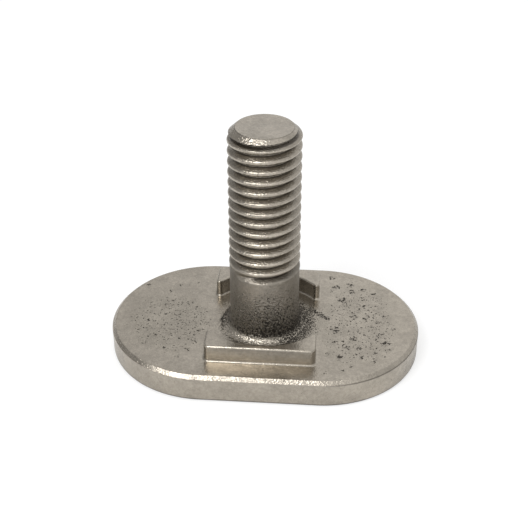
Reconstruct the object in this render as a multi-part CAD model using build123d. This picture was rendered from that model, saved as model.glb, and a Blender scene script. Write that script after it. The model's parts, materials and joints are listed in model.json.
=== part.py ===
"""Flat-headed clamp screw, M8 x 25: an oblong plate with two locating lugs and a threaded stud, in one piece.

The stud's axis is Z. The plate's underside lies on Z = 0 and its long side runs along X.
All sizes are in millimetres.
"""
from build123d import *
import os
from math import radians, tan

# Plate: the oblong head, with full round ends
plate_length = 36.0
plate_width = 23.0
plate_thickness = 3.3
plate_offset = 0.4  # the plate's middle lies this far behind the stud's axis
plate_bevel = 0.42  # 45 degree bevel round the upper edge
plate_lower_radius = 0.35  # broken edge round the underside

# Lugs: two low blocks, in front of the stud and behind it, cut back by a circle about the stud
lug_span = 16.4  # over the outer faces of the pair
lug_width = 12.4
lug_height = 2.05
lug_clearance_radius = 7.5  # inner faces, about the stud's axis
lug_corner_radius = 0.7  # upright outer corners
lug_tip_radius = 0.35  # upright sharp tips beside the clearance
lug_edge_radius = 0.2  # rim of the top face

# Stud: plain shank below, thread above
stud_length = 25.0  # above the plate
shank_diameter = 7.96
foot_radius = 1.1  # fillet from the shank into the plate
end_bevel = 0.9  # 45 degree bevel at the stud's free end
crest_relief = 0.04  # the crests come in by this much on the radius towards the free end

# Thread: M8 x 1.25, right-handed, cut as one helical groove
thread_pitch = 1.25
thread_length = 16.8  # at full depth, from the stud's end down
groove_depth = 0.72
groove_floor = 0.22  # width of the flat at the bottom of the groove
flank_angle = 30.0  # each flank leans this far from square to the axis
runout_angle = -92.0  # about Z, where the groove begins to leave its full depth
runout_radius = 5.5  # arc that lifts the groove out of the shank, wider than the groove's own floor

shank_radius = shank_diameter / 2
stud_top = plate_thickness + stud_length
thread_bottom = stud_top - thread_length
cutter_margin = 0.25  # how far the groove's cutter stands clear of the stud's surface


def plate():
    """Oblong plate with a bevelled upper edge, lying on Z = 0."""
    outline = Pos(0, plate_offset) * SlotOverall(plate_length, plate_width)
    body = extrude(outline, plate_thickness)
    body = chamfer(body.faces().sort_by(Axis.Z)[-1].edges(), plate_bevel)
    return fillet(body.faces().sort_by(Axis.Z)[0].edges(), plate_lower_radius)


def lugs():
    """Both lugs: straight outer faces, and hollow inner faces that leave a ring clear round the stud."""
    outline = Rectangle(lug_width, lug_span) - Circle(lug_clearance_radius)
    by_reach = outline.vertices().sort_by(lambda v: abs(v.Y))
    outline = fillet(by_reach[4:], lug_corner_radius)
    by_reach = outline.vertices().sort_by(lambda v: abs(v.Y))
    outline = fillet(by_reach[:4], lug_tip_radius)
    bodies = Pos(0, 0, plate_thickness) * extrude(outline, lug_height)
    return fillet(bodies.faces().filter_by(Plane.XY).group_by(Axis.Z)[-1].edges(), lug_edge_radius)


def stud_blank():
    """The stud before threading: foot fillet, shank, relieved crests and end bevel, turned about Z."""
    crest_start = thread_bottom - thread_pitch
    crest_end = stud_top - end_bevel
    crest_radius = shank_radius - crest_relief
    foot_edge = (shank_radius + foot_radius, plate_thickness)
    shank_edge = (shank_radius, plate_thickness + foot_radius)
    section = make_face(
        [
            Line((0, plate_thickness), foot_edge),
            RadiusArc(foot_edge, shank_edge, foot_radius),
            Line(shank_edge, (shank_radius, crest_start)),
            Line((shank_radius, crest_start), (crest_radius, crest_end)),
            Line((crest_radius, crest_end), (crest_radius - end_bevel, stud_top)),
            Line((crest_radius - end_bevel, stud_top), (0, stud_top)),
            Line((0, stud_top), (0, plate_thickness)),
        ]
    )
    return revolve(Plane.XZ * section, Axis.Z)


def groove_section(at, outwards, along):
    """The groove's cross-section, square to its path, with its floor at the path."""
    reach = groove_depth + cutter_margin
    half_floor = groove_floor / 2
    half_mouth = half_floor + reach * tan(radians(flank_angle))
    corners = [(0, -half_floor), (0, half_floor), (reach, half_mouth), (reach, -half_mouth)]
    return Plane(origin=at, x_dir=outwards, z_dir=along) * Polygon(*corners, align=None)


def thread_groove():
    """Cutters for the thread: a helix that leaves through the stud's end, and the run-out arc below it."""
    climb = thread_length + thread_pitch
    helix = Helix(thread_pitch, climb, shank_radius - groove_depth)
    helix = Pos(0, 0, thread_bottom) * Rot(0, 0, runout_angle) * helix
    start = helix @ 0
    along = helix % 0
    outwards = Vector(start.X, start.Y, 0).normalized()
    section = groove_section(start, outwards, along)
    backwards = Plane(origin=start, x_dir=-along, z_dir=outwards.cross(along))
    arc = backwards * TangentArc((0, 0), (0, 2 * runout_radius), tangent=(1, 0))
    return [sweep(section, path=helix, is_frenet=True), sweep(section, path=arc, is_frenet=True)]


def screw():
    stud = stud_blank()
    for cutter in thread_groove():
        stud -= cutter
    return plate() + lugs() + stud


os.makedirs("parts", exist_ok=True)
export_step(screw(), "parts/screw.step")
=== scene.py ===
import json
import math
import bpy
import bmesh
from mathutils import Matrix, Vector


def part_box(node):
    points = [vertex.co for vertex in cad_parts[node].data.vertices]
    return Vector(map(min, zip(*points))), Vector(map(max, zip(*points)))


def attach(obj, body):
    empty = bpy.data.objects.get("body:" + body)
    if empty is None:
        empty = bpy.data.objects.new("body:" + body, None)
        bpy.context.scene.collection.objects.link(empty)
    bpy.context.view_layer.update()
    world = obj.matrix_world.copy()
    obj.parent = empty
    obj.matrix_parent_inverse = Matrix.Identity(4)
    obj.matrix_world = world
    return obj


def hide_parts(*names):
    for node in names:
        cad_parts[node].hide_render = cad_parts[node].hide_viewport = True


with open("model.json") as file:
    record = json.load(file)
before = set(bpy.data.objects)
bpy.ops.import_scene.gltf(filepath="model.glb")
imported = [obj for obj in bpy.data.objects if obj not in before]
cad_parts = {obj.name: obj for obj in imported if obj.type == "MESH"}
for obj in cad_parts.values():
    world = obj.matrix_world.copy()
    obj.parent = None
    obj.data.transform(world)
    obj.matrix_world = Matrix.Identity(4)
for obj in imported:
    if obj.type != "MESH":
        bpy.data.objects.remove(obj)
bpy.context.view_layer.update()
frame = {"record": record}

mm = 0.001  # the screw is modelled in millimetres and shrunk to metres when it is whole

low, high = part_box("screw")
mounts = {mount["name"]: mount for mount in frame["record"]["mounts"]}
plateTop = mounts["clamp_face"]["pos_m"][2] / mm
studTop = high.z / mm
shankRadius = mounts["shank"]["dims"]["r_mm"]
threadBottom = studTop - mounts["thread"]["dims"]["length_mm"]

screw = {  # millimetres and degrees
    "plateLength": (high.x - low.x) / mm,
    "plateWidth": (high.y - low.y) / mm,
    "plateMiddle": (high.y + low.y) / 2 / mm,
    "plateBevel": 0.42,
    "bevelSoftness": 0.10,  # rounds both ends of the plate's bevel
    "plateUnderEdge": 0.35,
    "roundSteps": 288,  # flats round the plate's two ends together
    "sideSteps": 52,
    "gridSpan": 134,
    "supportRing": 0.1,  # narrow flat ring that keeps a flat face's shading flat
    "lugReach": -mounts["front_lug_face"]["pos_m"][1] / mm,
    "lugWidth": 12.4,
    "lugHeight": 2.05,
    "lugClearance": 7.5,
    "lugCorner": 0.65,
    "lugTip": 0.35,
    "hollowSteps": 24,
    "lugRim": 0.22,
    "lugFoot": 0.24,  # fillet where a lug meets the plate
    "foot": 1.1,  # fillet where the shank meets the plate
    "footSteps": 12,
    "pitch": 1.25,
    "threadAngle": -92.0,  # where the groove, going down, begins to leave its full depth
    "runout": 50.0,  # the groove fades away over this turn
    "flankAngle": 30.0,
    "profileSteps": (3, 4),  # round the groove's root and round a crest
    "grooveDepth": 0.72,
    "rootRadius": 0.10,
    "crestRound": 0.26,
    "crestProud": 0.05,  # the crests stand this far out from the plain shank
    "spareTurns": 4,  # turned beyond the thread's own turns and cut off again
    "turnsBelow": 1.5,  # the first groove lies at least this many turns below the thread
    "endDroop": 0.18,  # the last turn of the groove sags by this much towards the free end
    "endDepth": 0.9,  # and is only this deep, as a share
    "endBevel": 1.02,
    "rimRound": 0.5,  # the stud's end turns from its side into its bevel over this radius
    "bevelSlope": 42.0,  # and the bevel then falls this far from level
    "bevelLast": 0.1,  # this share of the bevel, at its upper end, has faces of its own
    "endRound": 0.08,
    "turnSteps": 128,
    "softSteps": 3,  # steps of the smallest roundings, then of the edges and of the corners
    "edgeSteps": 5,
    "cornerSteps": 8,
    "plainBelow": 0.1,  # plain stretch kept under the run-out before the shank goes on
    "sunk": 0.5,  # lugs and stud go this far into the plate before they are joined to it
    "blankSunk": 1.0,  # the blank that trims the stud starts this far under the plate
    "skim": 0.003,  # a fillet ends this far under the face that it runs into
    "weld": 0.0001,
    "levelEnough": 0.9,  # a face lies level when its normal rises or falls by more than this
    "smoothUnder": 32.0,  # edges that bend by less are shaded smooth
}


def deselectAll():
    if bpy.context.object and bpy.context.object.mode != "OBJECT":
        bpy.ops.object.mode_set(mode="OBJECT")
    bpy.ops.object.select_all(action="DESELECT")


def activate(piece):
    deselectAll()
    piece.select_set(True)
    bpy.context.view_layer.objects.active = piece


def edit(piece):
    activate(piece)
    bpy.ops.object.mode_set(mode="EDIT")
    bpy.ops.mesh.select_all(action="DESELECT")


def pick(piece, kind, wanted):
    # selects the vertices, edges or faces for which wanted(item) is true
    bpy.ops.mesh.select_mode(type={"verts": "VERT", "edges": "EDGE", "faces": "FACE"}[kind])
    bpy.ops.mesh.select_all(action="DESELECT")
    shape = bmesh.from_edit_mesh(piece.data)
    for item in getattr(shape, kind):
        item.select_set(wanted(item))
    bmesh.update_edit_mesh(piece.data)


def facesUp(face):
    return face.normal.z > screw["levelEnough"]


def facesDown(face):
    return face.normal.z < -screw["levelEnough"]


def applyModifier(piece, kind, **settings):
    activate(piece)
    modifier = piece.modifiers.new(kind.lower(), kind)
    for name, value in settings.items():
        setattr(modifier, name, value)
    bpy.ops.object.modifier_apply(modifier=modifier.name)


def arc(centre, radius, start, end, steps):
    # points along a flat arc, angles in degrees
    angles = [math.radians(start + (end - start) * step / steps) for step in range(steps + 1)]
    return [(centre[0] + radius * math.cos(a), centre[1] + radius * math.sin(a)) for a in angles]


def fadeIn(value, start, end):
    # 0 up to the start and 1 from the end on, with a smooth step between them
    share = min(max((value - start) / (end - start), 0), 1)
    return share * share * (3 - 2 * share)


def fadeOut(value, start, end):
    return 1 - fadeIn(value, start, end)


def drawChain(name, points):
    # a chain of vertices, drawn by extruding one vertex from point to point
    deselectAll()
    bpy.ops.mesh.primitive_plane_add(size=1)
    piece = bpy.context.object
    piece.name = name
    bpy.ops.object.mode_set(mode="EDIT")
    bpy.ops.mesh.select_mode(type="VERT")
    bpy.ops.mesh.select_all(action="SELECT")
    bpy.ops.mesh.merge(type="CENTER")
    bpy.ops.transform.translate(value=points[0])
    for here, there in zip(points, points[1:]):
        bpy.ops.mesh.extrude_vertices_move(TRANSFORM_OT_translate={"value": Vector(there) - Vector(here)})
    return piece


def raiseFaces(height):
    bpy.ops.mesh.extrude_region_move(TRANSFORM_OT_translate={"value": (0, 0, height)})


def turnNormalsOut():
    bpy.ops.mesh.select_all(action="SELECT")
    bpy.ops.mesh.normals_make_consistent()


def climb(steps):
    # takes the picked face along a moulding, in (inwards, upwards) steps
    for inwards, upwards in steps:
        if inwards:
            bpy.ops.mesh.inset(thickness=inwards, depth=upwards)
        else:
            raiseFaces(upwards)


def stepsBetween(points):
    return [(x1 - x0, y1 - y0) for (x0, y0), (x1, y1) in zip(points, points[1:])]


def makePlate(s):
    halfStraight = (s["plateLength"] - s["plateWidth"]) / 2
    soft = s["bevelSoftness"]
    bevel = s["plateBevel"]
    under = s["plateUnderEdge"]
    turn = soft * math.tan(math.radians(22.5))  # how far a rounded 45 degree corner reaches along each side
    wallTop = plateTop - bevel - turn
    deselectAll()
    bpy.ops.mesh.primitive_circle_add(
        vertices=s["roundSteps"], radius=s["plateWidth"] / 2, fill_type="NOTHING",
        location=(0, s["plateMiddle"], under), rotation=(0, 0, math.pi / s["roundSteps"]))
    plate = bpy.context.object
    plate.name = "plate"
    bpy.ops.object.transform_apply(location=True, rotation=True, scale=True)
    edit(plate)
    for side in (-1, 1):
        pick(plate, "verts", lambda corner: corner.co.x * side > 0)
        bpy.ops.transform.translate(value=(side * halfStraight, 0, 0))
    pick(plate, "edges", lambda edge: edge.calc_length() > halfStraight)
    bpy.ops.mesh.subdivide(number_cuts=s["sideSteps"] - 1)
    bpy.ops.mesh.select_all(action="SELECT")
    bpy.ops.mesh.edge_face_add()
    raiseFaces(wallTop - s["supportRing"] - under)
    turnNormalsOut()
    # the bevel round the upper edge is rounded where it starts and ends, with a ring just above its foot
    lower = arc((soft, 0), soft, 180, 135, s["softSteps"])
    ringUp = s["supportRing"] / 2
    lower.append((lower[-1][0] + ringUp, lower[-1][1] + ringUp))
    moulding = lower + arc((bevel + turn, bevel + turn - soft), soft, 135, 90, s["softSteps"])
    pick(plate, "faces", facesUp)
    climb([(0, s["supportRing"])] + stepsBetween(moulding) + [(s["supportRing"], 0)])
    pick(plate, "faces", facesDown)
    climb(stepsBetween(arc((under, 0), under, 180, 90, s["edgeSteps"])) + [(s["supportRing"], 0)])
    # the flat upper face gets an even net of faces
    flat = s["plateWidth"] * halfStraight
    pick(plate, "faces", lambda face: facesUp(face) and face.calc_area() > flat)
    bpy.ops.mesh.delete(type="ONLY_FACE")
    pick(plate, "edges", lambda edge: edge.is_boundary)
    bpy.ops.mesh.fill_grid(span=s["gridSpan"])
    bpy.ops.object.mode_set(mode="OBJECT")
    return plate


def lugOutline(s, grow):
    # half of a lug's footprint from the middle of its hollow side round to the middle of its straight side,
    # in front of the stud and grown by grow all round
    clear = s["lugClearance"] - grow
    tip = s["lugTip"] + grow
    corner = s["lugCorner"] + grow
    side = s["lugWidth"] / 2 + grow
    reach = s["lugReach"] + grow
    tipX = side - tip
    tipY = -math.sqrt((clear + tip) ** 2 - tipX ** 2)
    tipTurn = math.degrees(math.atan2(tipY, tipX))
    hollow = arc((0, 0), clear, -90, tipTurn, s["hollowSteps"])
    tipArc = arc((tipX, tipY), tip, tipTurn + 180, 0, s["cornerSteps"])
    cornerArc = arc((side - corner, corner - reach), corner, 0, -90, s["cornerSteps"])
    return hollow + tipArc[1:] + cornerArc


def makeLug(s, side):
    # side is -1 for the lug in front of the stud and 1 for the one behind it
    foot = s["lugFoot"]
    rim = s["lugRim"]
    half = lugOutline(s, foot)
    outline = half + [(-x, y) for x, y in reversed(half)][1:-1]
    base = plateTop - s["sunk"]
    lug = drawChain("lug", [(x, -side * y, base) for x, y in outline + outline[:1]])
    bpy.ops.mesh.select_all(action="SELECT")
    bpy.ops.mesh.remove_doubles(threshold=s["weld"])
    bpy.ops.mesh.edge_face_add()
    bpy.ops.mesh.normals_make_consistent()
    pick(lug, "faces", lambda face: True)
    raiseFaces(s["sunk"] - s["skim"])
    turnNormalsOut()
    pick(lug, "faces", facesUp)
    wall = s["lugHeight"] + s["skim"] - foot - rim
    footArc = arc((0, foot), foot, -90, 0, s["edgeSteps"])
    rimArc = arc((rim, 0), rim, 180, 90, s["edgeSteps"])
    climb(stepsBetween(footArc) + [(0, wall)] + stepsBetween(rimArc) + [(s["supportRing"] / 4, 0)])
    bpy.ops.object.mode_set(mode="OBJECT")
    return lug


def threadProfile(s):
    # one pitch of the thread from crest to crest, as (radius, height) about the groove's middle
    depth = s["grooveDepth"]
    crest = s["crestRound"]
    root = s["rootRadius"]
    lean = math.radians(s["flankAngle"])
    flankDeep = depth - (crest + root) * (1 - math.sin(lean))
    flankHigh = flankDeep * math.tan(lean)
    crestMiddle = (root + crest) * math.cos(lean) + flankHigh
    turned = 90 - s["flankAngle"]
    rootSteps, crestSteps = s["profileSteps"]
    rootArc = arc((shankRadius - depth + root, 0), root, 180, 180 - turned, rootSteps)
    crestArc = arc((shankRadius - crest, crestMiddle), crest, -turned, 0, crestSteps)
    flankMiddle = ((rootArc[-1][0] + crestArc[0][0]) / 2, (rootArc[-1][1] + crestArc[0][1]) / 2)
    upper = rootArc + [flankMiddle] + crestArc + [(shankRadius, s["pitch"] / 2)]
    return [(radius, -height) for radius, height in reversed(upper[1:])] + upper


def shapeGroove(stud, s, grooveAtX, fade):
    # the groove fades out at its lower end, and sags and grows shallow at the free end
    pitch = s["pitch"]
    endTurn = studTop - pitch
    for corner in stud.data.vertices:
        x, y, z = corner.co
        radius = math.hypot(x, y)
        groove = grooveAtX + pitch * math.atan2(y, x) / (2 * math.pi)
        groove += pitch * round((z - groove) / pitch)
        begun = fadeIn(groove, threadBottom - fade, threadBottom)
        shallow = (1 - s["endDepth"]) * fadeIn(groove, endTurn, endTurn + pitch / 2)
        wanted = shankRadius - (shankRadius - radius) * begun * (1 - shallow) + s["crestProud"] * begun
        corner.co.x *= wanted / radius
        corner.co.y *= wanted / radius
        corner.co.z -= s["endDroop"] * fadeIn(z, endTurn, endTurn + pitch / 2)


def addShank(stud, s, plainTop):
    # shank and foot fillet, ring by ring, down to a plug inside the plate
    foot = s["foot"]
    fillet = arc((shankRadius + foot, plateTop + foot), foot, 180, 270, s["footSteps"])
    rings = [(radius, height - s["skim"]) for radius, height in fillet]
    rings.append((shankRadius + foot, plateTop - s["sunk"]))
    pick(stud, "edges", lambda edge: edge.is_boundary)
    radiusNow, heightNow = shankRadius, plainTop
    for radius, height in rings:
        grown = radius / radiusNow
        raiseFaces(height - heightNow)
        bpy.ops.transform.resize(value=(grown, grown, 1), center_override=(0, 0, height))
        radiusNow, heightNow = radius, height
    bpy.ops.mesh.edge_face_add()
    turnNormalsOut()


def makeStud(s):
    pitch = s["pitch"]
    fade = pitch * s["runout"] / 360  # how far the groove goes down while it fades
    plainTop = threadBottom - fade - pitch / 2 - s["plainBelow"]  # the plain shank goes on from here
    # the groove's middle passes the X axis at this height
    grooveAtX = threadBottom - pitch * s["threadAngle"] / 360
    turns = math.ceil((studTop - plainTop) / pitch) + s["spareTurns"]
    firstGroove = grooveAtX - pitch * math.ceil((grooveAtX - plainTop) / pitch + s["turnsBelow"])
    stud = drawChain("stud", [(radius, 0, firstGroove + height) for radius, height in threadProfile(s)])
    bpy.ops.object.mode_set(mode="OBJECT")
    applyModifier(stud, "SCREW", angle=2 * math.pi, steps=s["turnSteps"], render_steps=s["turnSteps"],
                  iterations=turns, screw_offset=pitch)
    edit(stud)
    bpy.ops.mesh.select_all(action="SELECT")
    bpy.ops.mesh.remove_doubles(threshold=s["weld"])  # joins each turn to the next
    bpy.ops.object.mode_set(mode="OBJECT")
    shapeGroove(stud, s, grooveAtX, fade)
    # the spare turns are cut off, a little above the free end and where the plain shank starts
    edit(stud)
    bpy.ops.mesh.select_all(action="SELECT")
    bpy.ops.mesh.bisect(plane_co=(0, 0, studTop + pitch / 8), plane_no=(0, 0, 1), use_fill=True,
                        clear_outer=True, threshold=s["weld"])
    bpy.ops.mesh.select_all(action="SELECT")
    bpy.ops.mesh.bisect(plane_co=(0, 0, plainTop), plane_no=(0, 0, 1), clear_inner=True, threshold=s["weld"])
    addShank(stud, s, plainTop)
    bpy.ops.object.mode_set(mode="OBJECT")
    return stud


def makeEndShape(s):
    # a turned blank with the rounded and bevelled free end that the thread is trimmed to; below its shoulder
    # it is wider than the thread
    slope = s["bevelSlope"]
    soft = s["endRound"]
    rim = s["rimRound"]
    below = s["blankSunk"]
    rimRadius = shankRadius + s["crestProud"] + s["skim"]
    wide = shankRadius + 2 * s["foot"]
    shoulder = studTop - 2 * s["endBevel"]
    rising = studTop - s["endBevel"]
    rounding = arc((rim, 0), rim, 180, 90 + slope, s["cornerSteps"])
    topTurn = arc((0, 0), soft, 90 + slope, 90, s["softSteps"])
    straightRise = s["endBevel"] - rounding[-1][1] - (topTurn[-1][1] - topTurn[0][1])
    straight = (straightRise / math.tan(math.radians(slope)), straightRise)
    straights = [(share * straight[0], share * straight[1]) for share in (1 - s["bevelLast"], s["bevelLast"])]
    deselectAll()
    bpy.ops.mesh.primitive_cylinder_add(vertices=s["turnSteps"], radius=wide, depth=shoulder + below,
                                        location=(0, 0, (shoulder - below) / 2))
    blank = bpy.context.object
    blank.name = "blank"
    bpy.ops.object.transform_apply(location=True, rotation=True, scale=True)
    edit(blank)
    pick(blank, "faces", facesUp)
    climb([(wide - rimRadius, 0), (0, rising - shoulder)] + stepsBetween(rounding) + straights)
    climb(stepsBetween(topTurn) + [(s["supportRing"], 0)])
    bpy.ops.object.mode_set(mode="OBJECT")
    return blank


def combine(piece, other, how):
    applyModifier(piece, "BOOLEAN", operation=how, object=other, solver="EXACT")
    bpy.data.objects.remove(other)


def makeScrew(s):
    plate = makePlate(s)
    print("plate", len(plate.data.polygons), "faces")
    stud = makeStud(s)
    combine(stud, makeEndShape(s), "INTERSECT")
    print("stud", len(stud.data.polygons), "faces")
    for piece in (makeLug(s, -1), makeLug(s, 1), stud):
        combine(plate, piece, "UNION")
    plate.name = "screw_body"
    edit(plate)
    bpy.ops.mesh.select_all(action="SELECT")
    bpy.ops.transform.resize(value=(mm, mm, mm), center_override=(0, 0, 0))
    bpy.ops.object.mode_set(mode="OBJECT")
    print("screw", len(plate.data.polygons), "faces")
    return plate


screwBody = makeScrew(screw)

wearAndShade = {  # pits, dirt and dullness, and painted shade in the groove, along fine lines and on the lugs' sides; millimetres and degrees; most pairs say where a change starts and where it is complete
    "pitMarks": [  # places on the plate's upper face, as x, y and size
        (8.3, 7.8, 0.7), (7.7, 9.8, 0.5), (7.7, 6.7, 0.4), (9.1, 5.0, 0.8), (10.0, 8.4, 0.7),
        (10.2, 6.9, 0.6), (11.5, 7.4, 0.5), (11.7, 5.5, 0.6), (12.9, 6.5, 0.5), (10.5, 2.0, 0.7),
        (11.8, 1.3, 0.55), (11.7, 3.8, 0.4), (13.6, 5.2, 0.35), (8.2, -1.2, 0.8), (11.5, -1.5, 0.45),
        (12.8, -0.3, 0.45), (13.3, 0.8, 0.3),
        (10.4, -2.8, 0.6), (13.3, -2.2, 0.4), (14.1, -3.4, 0.7), (14.6, -4.5, 0.4), (9.8, -4.5, 0.55),
        (8.9, -6.3, 0.6), (7.6, -5.8, 0.35), (11.4, -6.3, 0.45), (12.3, -4.0, 0.45), (11.0, -4.6, 0.4),
        (12.9, -5.2, 0.3), (8.3, -3.6, 0.35), (10.2, -7.9, 0.3), (9.3, -8.8, 0.3), (7.4, -9.3, 0.3),
        (12.8, -6.7, 0.4), (15.1, -0.7, 0.3), (14.0, 1.9, 0.3),
        (-14.8, 6.5, 0.4), (-8.9, 7.4, 0.3), (-10.9, 6.8, 0.3), (-11.9, 5.4, 0.3), (-11.2, 3.5, 0.3),
        (-12.2, 2.3, 0.3), (-11.8, 0.5, 0.3), (-13.7, -0.9, 0.4), (-12.0, -2.5, 0.35), (-10.1, -0.4, 0.3),
        (-8.2, -0.3, 0.3), (-6.9, -1.0, 0.4), (-7.3, -2.4, 0.4), (-7.8, -4.8, 0.35), (-8.3, -6.1, 0.4),
        (-10.9, -6.3, 0.3), (-9.2, -7.5, 0.3), (-13.5, -5.4, 0.3),
    ],
    "markEdge": (0.35, 1.3),  # a mark thins out between these shares of its size
    "peppered": [  # finely speckled patches, as strength, middle x and y and half sizes
        (0.50, -11.0, -1.0, 5.5, 6.5),
        (0.48, 11.0, 0.0, 5.0, 8.5),
    ],
    "patchEdge": (0.6, 1.15),  # and a patch between these shares of its half sizes
    "near": 0.02,  # a point this near to a face counts as part of it
    "dirtTurn": -25.0,  # about the stud, where dirt is thickest and reaches furthest
    "dirtReach": (5.1, 7.2),  # radius of the dirt ring on the plate, on its narrow and on its wide side
    "dirtOnPlate": 0.8,
    "dirtOnFoot": 0.85,
    "dirtOnShank": (0.55, 1.0),  # on its thin and on its thick side
    "shankStart": 0.66,  # height above the plate where the foot's dirt gives way to the shank's
    "dirtHeight": (0.8, 1.9),  # the shank's dirt thins out between these heights above the plate
    "rubbedTurn": -112.0,  # about the stud, the middle of the rubbed bright part of the foot
    "rubbedWidth": (34.0, 66.0),  # to either side of it
    "rubbedHeight": (0.33, 0.935),  # above the plate
    "rubbedOff": 0.7,  # how much dirt is gone there
    "dirtTrail": (5.4, 2.7, 7.5, 0.9),  # a thin trail of dirt, from x and y to x and y
    "trailEdge": (0.1, 0.5),
    "endClear": 0.05,  # the flat of the free end stays free of the groove's painted shade
    "endGroove": 0.6,  # towards the free end the groove is shallower by this share
    "darkFacing": (-0.2, 0.4),  # the groove's painted shade is thicker on faces that look up, as the height of their normal
    "lugSkin": 0.05,  # a lug's straight side is taken to be this thick
    "dullStart": 0.3,  # dull parts, and the painted shade on the lugs' sides, start this far above the plate
    "shankSkin": 0.3,  # the shank's foot is dull as far out as this
    "dullEnd": (-0.3, 1.0),  # about the thread's lower end
    "lugSurround": 0.3,  # the fine grain of the lugs starts this far from their hollow sides
    "lugStart": 0.01,  # and this far above the plate
    "footGrain": (5.0, 6.6),  # coarse grain round the stud's foot thins out between these two radii
    "footCoarse": 1.9,  # and is this much coarser than elsewhere
    "levelFacing": (0.90, 0.99),  # faces that lie level have the finest grain
    "underLine": 0.245,  # height of the painted shade line round the lower edge
    "endLineDepth": (0.004, 0.06),  # below the flat of the free end
    "endLineTone": 0.6,
    "bevelLineNear": 0.05,  # around the foot of the plate's bevel
    "bevelLineX": (5.0, 11.0),  # this line comes in between these two x
    "backLineDepth": (0.008, 0.06),  # below the plate's upper face
    "backLineY": (3.0, 8.0),  # this one comes in between these two y
    "rimLineTone": 0.8,
    "shankTone": 0.66,  # share of light that the dull shank and the painted shade on the lugs' straight sides give back
}


def between(pair, share):
    return pair[0] + (pair[1] - pair[0]) * share


def distanceToTrail(x, y, trail):
    fromX, fromY, toX, toY = trail
    alongX = toX - fromX
    alongY = toY - fromY
    share = ((x - fromX) * alongX + (y - fromY) * alongY) / (alongX ** 2 + alongY ** 2)
    share = min(max(share, 0), 1)
    return math.hypot(x - fromX - share * alongX, y - fromY - share * alongY)


def pitting(w, x, y, z):
    # how likely dark pits are: 1 at a mark, less over the peppered patches
    if abs(z - plateTop) > w["near"] or math.hypot(x, y) < shankRadius + screw["foot"]:
        return 0
    marks = [fadeOut(math.hypot(x - markX, y - markY) / size, *w["markEdge"])
             for markX, markY, size in w["pitMarks"]]
    patches = [strength * fadeOut(math.hypot((x - midX) / halfX, (y - midY) / halfY), *w["patchEdge"])
               for strength, midX, midY, halfX, halfY in w["peppered"]]
    return max(marks + patches)


def dirtiness(w, x, y, z):
    # how thick the dark dirt lies round the stud's foot, from 0 to 1
    radius = math.hypot(x, y)
    turn = math.degrees(math.atan2(y, x))
    height = z - plateTop
    footEdge = shankRadius + screw["foot"]
    thickSide = 0.5 + 0.5 * math.cos(math.radians(turn - w["dirtTurn"]))
    if height < -w["near"] or (radius > footEdge and height > w["near"]):
        return 0
    if height > w["shankStart"]:
        return fadeOut(height, *w["dirtHeight"]) * between(w["dirtOnShank"], thickSide)
    if radius < footEdge:
        away = abs((turn - w["rubbedTurn"] + 180) % 360 - 180)
        rubbed = fadeOut(away, *w["rubbedWidth"]) * fadeOut(height, *w["rubbedHeight"])
        return w["dirtOnFoot"] - w["rubbedOff"] * rubbed
    ring = w["dirtOnPlate"] * fadeOut(radius, footEdge, between(w["dirtReach"], thickSide))
    return max(ring, fadeOut(distanceToTrail(x, y, w["dirtTrail"]), *w["trailEdge"]))


def endInset(rise):
    # how far in from the crests the free end's bevel lies, at this rise above where it begins
    rim = screw["rimRound"]
    slope = math.radians(screw["bevelSlope"])
    roundRise = rim * math.cos(slope)
    if rise < roundRise:
        return rim - math.sqrt(rim ** 2 - rise ** 2)
    return rim * (1 - math.sin(slope)) + (rise - roundRise) / math.tan(slope)


def grooveShade(w, x, y, z, facing):
    # painted shade in the thread's groove: how deep a point lies in it, from 0 on the blank's surface to 1 at
    # its floor, and half of that on faces that look down
    if not threadBottom - screw["pitch"] < z < studTop - w["endClear"]:
        return 0
    bevelStart = studTop - screw["endBevel"]
    surface = shankRadius + screw["crestProud"] - endInset(max(z - bevelStart, 0))
    full = screw["grooveDepth"] * (1 - w["endGroove"] * fadeIn(z, studTop - screw["pitch"], bevelStart))
    depth = min(max((surface - math.hypot(x, y)) / full, 0), 1)
    return depth * (0.5 + 0.5 * fadeIn(facing, *w["darkFacing"]))


def dullnessAndShade(w, x, y, z):
    # the shank is duller and darker than the rest; the lugs' straight sides are duller and carry painted
    # shade
    height = z - plateTop
    sideTop = screw["lugHeight"] - screw["lugRim"] + w["near"]
    if abs(y) > screw["lugReach"] - w["lugSkin"] and w["dullStart"] < height < sideTop:
        return 1
    if math.hypot(x, y) > shankRadius + w["shankSkin"] or height < w["dullStart"]:
        return 0
    return fadeOut(z - threadBottom, *w["dullEnd"])


def coarseness(w, x, y, z, facing):
    # the steel's grain is coarsest at the stud's foot, coarse on other faces that don't lie level, and fine
    # on the lugs
    radius = math.hypot(x, y)
    height = z - plateTop
    if radius > screw["lugClearance"] - w["lugSurround"] and height > w["lugStart"]:
        return 0
    if radius < w["footGrain"][1] and -w["near"] < height < screw["foot"]:
        return w["footCoarse"] * fadeOut(radius, *w["footGrain"])
    return fadeOut(abs(facing), *w["levelFacing"])


def paintedShadeLine(w, x, y, z):
    # painted shade in fine dark lines: round the lower edge, round the flat of the free end, at the foot of
    # the plate's bevel on the right and along the rim behind
    below = plateTop - z
    if z < w["underLine"]:
        return 1
    if w["endLineDepth"][0] < studTop - z < w["endLineDepth"][1]:
        return w["endLineTone"]
    if abs(below - screw["plateBevel"]) < w["bevelLineNear"]:
        return w["rimLineTone"] * fadeIn(x, *w["bevelLineX"])
    if w["backLineDepth"][0] < below < w["backLineDepth"][1]:
        return w["rimLineTone"] * fadeIn(y, *w["backLineY"])
    return 0


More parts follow.
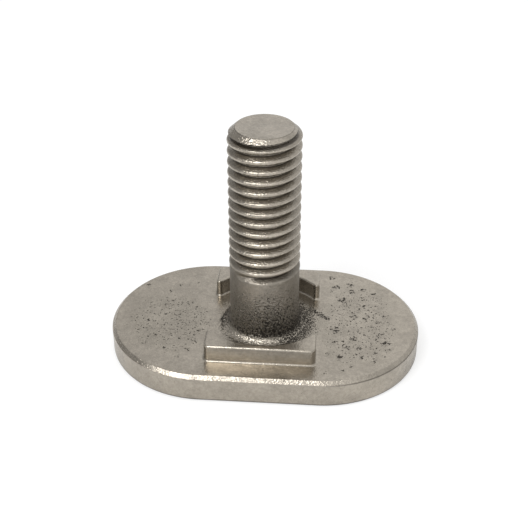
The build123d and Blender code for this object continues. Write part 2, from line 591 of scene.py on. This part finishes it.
def paintWearAndShade(piece, w):
    # painted layers that the steel reads, the painted shade among them
    places = [corner.co / mm for corner in piece.data.vertices]
    facings = [corner.normal.z for corner in piece.data.vertices]
    painted = {
        "pits": [pitting(w, *place) for place in places],
        "dirt": [dirtiness(w, *place) for place in places],
        "groove": [grooveShade(w, *place, facing) for place, facing in zip(places, facings)],
        "dull": [dullnessAndShade(w, *place) for place in places],
        "rim": [paintedShadeLine(w, *place) for place in places],
        "rough": [coarseness(w, *place, facing) for place, facing in zip(places, facings)],
    }
    for name, values in painted.items():
        piece.data.attributes.new(name, "FLOAT", "POINT").data.foreach_set("value", values)
    print("wear painted")


paintWearAndShade(screwBody, wearAndShade)
activate(screwBody)
bpy.ops.object.shade_smooth_by_angle(angle=math.radians(screw["smoothUnder"]))
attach(screwBody, "root")
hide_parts("screw")


class Signal:
    # a socket's value, so that sums and products of signals add their own Math nodes
    def __init__(self, paint, socket):
        self.paint = paint
        self.socket = socket

    def maths(self, operation, *values):
        return self.paint.add("ShaderNodeMath", {"operation": operation}, dict(enumerate(values)))

    def __add__(self, other):
        return self.maths("ADD", self, other)

    def __sub__(self, other):
        return self.maths("SUBTRACT", self, other)

    def __rsub__(self, other):
        return self.maths("SUBTRACT", other, self)

    def __mul__(self, other):
        return self.maths("MULTIPLY", self, other)

    __radd__ = __add__
    __rmul__ = __mul__

    def orMore(self, other):
        return self.maths("MAXIMUM", self, other)

    def ramp(self, start, end, low=0.0, high=1.0):
        # a smooth step from low to high while the signal goes from start to end
        sockets = {"Value": self, "From Min": start, "From Max": end, "To Min": low, "To Max": high}
        return self.paint.add("ShaderNodeMapRange", {"interpolation_type": "SMOOTHSTEP"}, sockets)


class Paint:
    # the node tree of one material or of the world
    def __init__(self, owner):
        owner.use_nodes = True
        self.tree = owner.node_tree
        self.tree.nodes.clear()

    def add(self, kind, settings=None, sockets=None, output=0):
        # adds a node, with its settings first and then its sockets' values or links
        node = self.tree.nodes.new(kind)
        for name, value in (settings or {}).items():
            setattr(node, name, value)
        for name, value in (sockets or {}).items():
            if isinstance(value, Signal):
                self.tree.links.new(value.socket, node.inputs[name])
            else:
                node.inputs[name].default_value = value
        return Signal(self, node.outputs[output])

    def outputOf(self, signal, name):
        return Signal(self, signal.socket.node.outputs[name])

    def mix(self, factor, first, second):
        # a Mix node takes its two colours in sockets 6 and 7 and gives the mixed one in output 2
        return self.add("ShaderNodeMix", {"data_type": "RGBA"}, {"Factor": factor, 6: first, 7: second}, 2)

    def show(self, shader, kind="ShaderNodeOutputMaterial"):
        self.tree.links.new(shader.socket, self.tree.nodes.new(kind).inputs["Surface"])


steel = {
    "base": (0.410, 0.372, 0.316, 1),
    # dark colour of the dirt and specks, and of the painted shade
    "grime": (0.026, 0.022, 0.018, 1),
    # noise patterns: how many to a metre, detail, roughness, and a shift that keeps one off another
    "grain": (5400.0, 1.0, 0.5, (0, 0, 0)),
    "blotches": (420.0, 3.0, 0.55, (0, 0, 0)),
    "mottle": (1700.0, 2.0, 0.6, (0.5, 0.2, 0.9)),
    "fineSpecks": (5200.0, 3.0, 0.62, (0.3, 0.1, 0.2)),
    "coarseSpecks": (3400.0, 3.0, 0.65, (0.7, 0.4, 0.1)),
    # specks: how far a painted layer lowers the pattern's threshold, the threshold, and the layer's own edge
    "pitted": (0.21, (0.69, 0.74), (0.02, 0.2)),
    "peppered": (0.10, (0.69, 0.74), (0.02, 0.2)),
    "dirty": (0.24, (0.65, 0.70), (0.0, 0.15)),
    "stray": (0.68, 0.73),  # specks everywhere, as a threshold only
    "pepperedTone": 0.6,
    "strayTone": 0.7,
    "speckTone": 0.9,
    # painted shade in the groove: from and to what depth it comes in, and from and to what share
    "flankSoot": (0.05, 0.35, 0.0, 0.3),
    "rootSoot": (0.6, 1.0, 0.0, 0.55),
    "dirtSoot": 0.08,
    # painted shade along the fine dark lines round the edges
    "rimSoot": 0.7,
    # tones: from and to what value of the pattern, and from and to what share of the light
    "blotchTone": (0.3, 0.7, 0.92, 1.08),
    "mottleTone": (0.3, 0.7, 0.93, 1.06),
    "coarseTone": (0.3, 0.7, 0.92, 1.08),
    "grainHeight": 0.000028,  # metres, and the next five are shares of it
    "grainPlain": 0.7,
    "grainRough": 1.3,
    "grainDirty": 3.0,
    "blotchHeight": 3.0,
    "speckDepth": 1.5,
    "roughness": 0.27,
    "speckRoughness": 0.3,
    "dullRoughness": 0.12,
}


def makeSteel(s, w):
    material = bpy.data.materials.new("screw_steel")
    paint = Paint(material)
    place = paint.outputOf(paint.add("ShaderNodeTexCoord"), "Object")

    def noise(count, detail, roughness, shift):
        where = paint.add("ShaderNodeVectorMath", {"operation": "ADD"}, {0: place, 1: shift})
        sockets = {"Vector": where, "Scale": count, "Detail": detail, "Roughness": roughness}
        return paint.add("ShaderNodeTexNoise", None, sockets)

    def layer(name):
        return paint.outputOf(paint.add("ShaderNodeAttribute", {"attribute_name": name}), "Fac")

    def specks(pattern, painted, pull, threshold, edge):
        # a speck shows where the pattern passes a threshold that falls as the painted layer rises
        return (pattern + painted * pull).ramp(*threshold) * painted.ramp(*edge)

    grain = noise(*s["grain"])
    mottle = noise(*s["mottle"])
    blotch = noise(*s["blotches"])
    fine = noise(*s["fineSpecks"])
    coarse = noise(*s["coarseSpecks"])
    pits = layer("pits")
    dirt = layer("dirt")
    groove = layer("groove")
    dull = layer("dull")
    rim = layer("rim")
    rough = layer("rough")
    dark = specks(coarse, pits, *s["pitted"])
    dark = dark.orMore(specks(fine, pits, *s["peppered"]) * s["pepperedTone"])
    dark = dark.orMore(specks(fine, dirt, *s["dirty"]))
    dark = dark.orMore(fine.ramp(*s["stray"]) * s["strayTone"])
    # painted shade in the groove and along the fine dark lines, with the dirt's own darkening
    shadeAndDirt = groove.ramp(*s["flankSoot"]) + groove.ramp(*s["rootSoot"])
    shadeAndDirt = shadeAndDirt.orMore(dirt * s["dirtSoot"]).orMore(rim * s["rimSoot"])
    mottled = blotch.ramp(*s["blotchTone"]) * mottle.ramp(*s["mottleTone"]) * coarse.ramp(*s["coarseTone"])
    # the shank darker, and painted shade on the lugs' straight sides
    tone = mottled * (1 - dull * (1 - w["shankTone"]))
    clean = paint.add("ShaderNodeVectorMath", {"operation": "SCALE"}, {0: s["base"][:3], "Scale": tone})
    colour = paint.mix(dark * s["speckTone"], paint.mix(shadeAndDirt, clean, s["grime"]), s["grime"])
    height = grain * (rough * s["grainRough"] + dirt * s["grainDirty"] + s["grainPlain"])
    height = height + blotch * s["blotchHeight"] - dark * s["speckDepth"]
    relief = {"Strength": 1.0, "Distance": s["grainHeight"], "Height": height}
    bump = paint.add("ShaderNodeBump", None, relief)
    roughness = dark * s["speckRoughness"] + dull * s["dullRoughness"] + s["roughness"]
    paint.show(paint.add("ShaderNodeBsdfPrincipled", None, {
        "Metallic": 1.0, "Base Color": colour, "Normal": bump, "Roughness": roughness}))
    print("steel made")
    return material


screwBody.data.materials.clear()
screwBody.data.materials.append(makeSteel(steel, wearAndShade))

studio = {  # metres, degrees and watts
    "cameraPlace": (0.0075015, -0.0976295, 0.0734737),
    "cameraDown": 32.4466,  # it looks down by this
    "cameraTurn": 4.4347,  # and to the left by this
    "lens": 69.68,
    "sensor": 36.0,
    "nearest": 0.001,
    "floorSize": 3.0,
    "floorWhite": 1.06,
    "floorTone": 0.88,  # the paper's own colour, as the metal sees it
    "floorGlow": 0.55,  # how much of the floor's own white the camera sees, so that shadows stay light
    "skyLeft": 0.38,  # the metal sees a darker studio to the left and right than behind and above
    "skyMiddle": 0.96,
    "skyRight": 0.72,
    "skyFront": 0.35,  # extra light from the camera's side
    "leftEdge": (-0.65, 0.12),  # the sky changes while a direction's X goes from the first to the second
    "rightEdge": (0.3, 0.8),
    "frontEdge": (-0.45, -0.85),  # and while its Y does
    "keyPlace": (-0.17, -0.22, 0.34),
    "keySize": (0.22, 0.22),
    "keyPower": 0.96,
}


def makeCamera(s):
    deselectAll()
    turned = (math.radians(90 - s["cameraDown"]), 0, math.radians(s["cameraTurn"]))
    bpy.ops.object.camera_add(location=s["cameraPlace"], rotation=turned)
    camera = bpy.context.object
    camera.data.lens = s["lens"]
    camera.data.sensor_width = s["sensor"]
    camera.data.clip_start = s["nearest"]
    bpy.context.scene.camera = camera


def makeFloor(s):
    deselectAll()
    bpy.ops.mesh.primitive_plane_add(size=s["floorSize"])
    floor = bpy.context.object
    floor.name = "floor"
    material = bpy.data.materials.new("floor")
    paint = Paint(material)
    seen = paint.add("ShaderNodeLightPath")
    paper = paint.add("ShaderNodeBsdfDiffuse", None, {"Color": seen * (1 - s["floorTone"]) + s["floorTone"]})
    glow = paint.add("ShaderNodeEmission", None, {"Color": (1, 1, 1, 1), "Strength": s["floorWhite"]})
    paint.show(paint.add("ShaderNodeMixShader", None, {0: seen * s["floorGlow"], 1: paper, 2: glow}))
    floor.data.materials.append(material)


def makeSky(s):
    world = bpy.data.worlds.new("studio")
    bpy.context.scene.world = world
    paint = Paint(world)
    direction = paint.outputOf(paint.add("ShaderNodeTexCoord"), "Generated")
    sideways = paint.add("ShaderNodeSeparateXYZ", None, {0: direction})
    front = paint.outputOf(sideways, "Y").ramp(*s["frontEdge"], 0.0, s["skyFront"])
    leftToMiddle = sideways.ramp(*s["leftEdge"], s["skyLeft"], s["skyMiddle"])
    middleToRight = sideways.ramp(*s["rightEdge"], 0.0, s["skyMiddle"] - s["skyRight"])
    strength = leftToMiddle - middleToRight + front
    seen = paint.add("ShaderNodeLightPath")  # the camera itself sees plain white
    shown = strength + seen * (1 - strength)
    sky = paint.add("ShaderNodeBackground", None, {"Color": (1, 1, 1, 1), "Strength": shown})
    paint.show(sky, "ShaderNodeOutputWorld")


def makeKeyLamp(s):
    # a soft area lamp aimed at the middle of the screw
    aim = Vector((0, 0, studTop * mm / 2)) - Vector(s["keyPlace"])
    turned = aim.to_track_quat("-Z", "Y").to_euler()
    deselectAll()
    bpy.ops.object.light_add(type="AREA", location=s["keyPlace"], rotation=turned)
    lamp = bpy.context.object
    lamp.name = "key"
    lamp.data.shape = "RECTANGLE"
    lamp.data.size, lamp.data.size_y = s["keySize"]
    lamp.data.energy = s["keyPower"]


makeCamera(studio)
makeFloor(studio)
makeSky(studio)
makeKeyLamp(studio)
bpy.context.scene.view_settings.view_transform = "Standard"

print("stage set")
